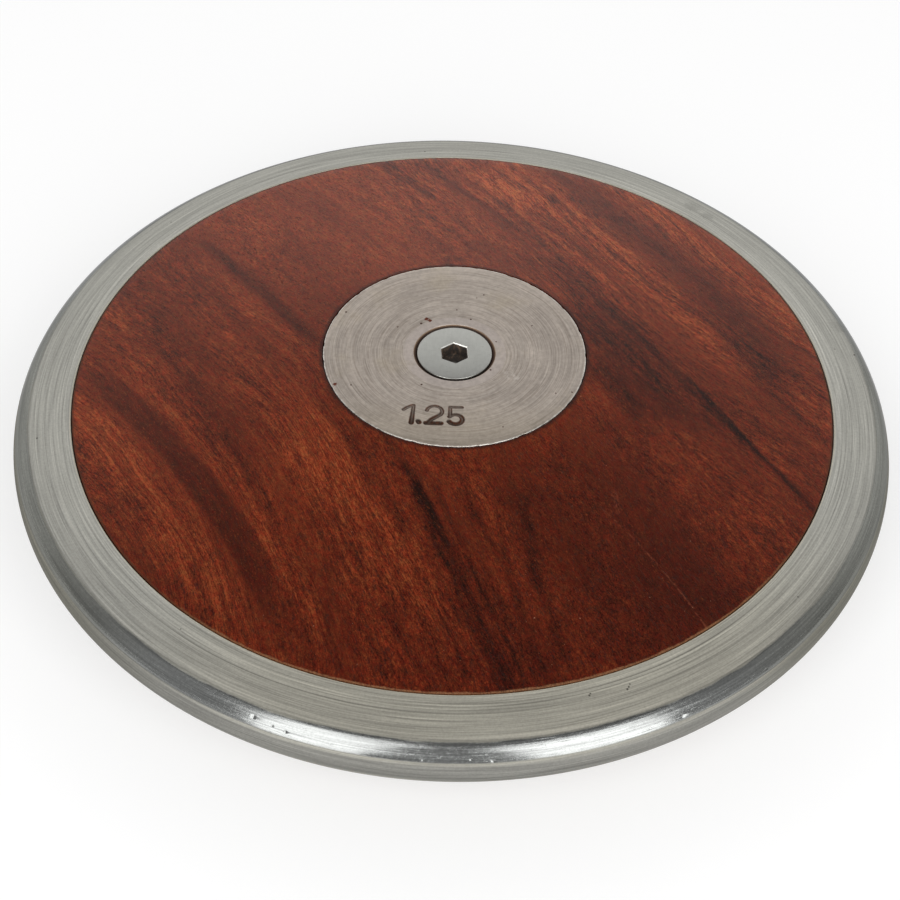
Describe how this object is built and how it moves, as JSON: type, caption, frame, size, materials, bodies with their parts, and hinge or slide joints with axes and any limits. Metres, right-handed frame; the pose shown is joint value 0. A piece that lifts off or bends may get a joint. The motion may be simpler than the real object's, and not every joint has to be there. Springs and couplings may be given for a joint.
{
  "type": "throwing discus",
  "caption": "Throwing discus with a round-edged steel rim, turned hardwood sides and flush steel centre plates clamped by countersunk socket screws.",
  "frame": {"origin": "centre of the discus, midway between its two flat centre faces", "axes": "+Z along the axis that the discus spins about, out of the upper face; +X and +Y in the plane of the rim, alike by rotation"},
  "size_m": [0.19, 0.19, 0.038],
  "materials": {
    "rim_steel": "turned and zinc plated, fine lathe rings, small dents along the edge",
    "hardwood": "red-brown hardwood with dark streaks, thin satin varnish",
    "plate_steel": "faced on the lathe, matt, with small rust pits and stamped plain numbers",
    "screw_steel": "zinc plated, smooth",
    "core_steel": "plain drawn and punched steel"
  },
  "bodies": {
    "root": {"steel_rim": "rim_steel", "upper_wood_side": "hardwood", "lower_wood_side": "hardwood", "upper_centre_plate": "plate_steel", "lower_centre_plate": "plate_steel", "upper_socket_screw": "screw_steel", "lower_socket_screw": "screw_steel", "coupling_nut": "core_steel", "trim_washer_1": "core_steel", "trim_washer_2": "core_steel", "trim_washer_3": "core_steel"}
  },
  "joints": []
}
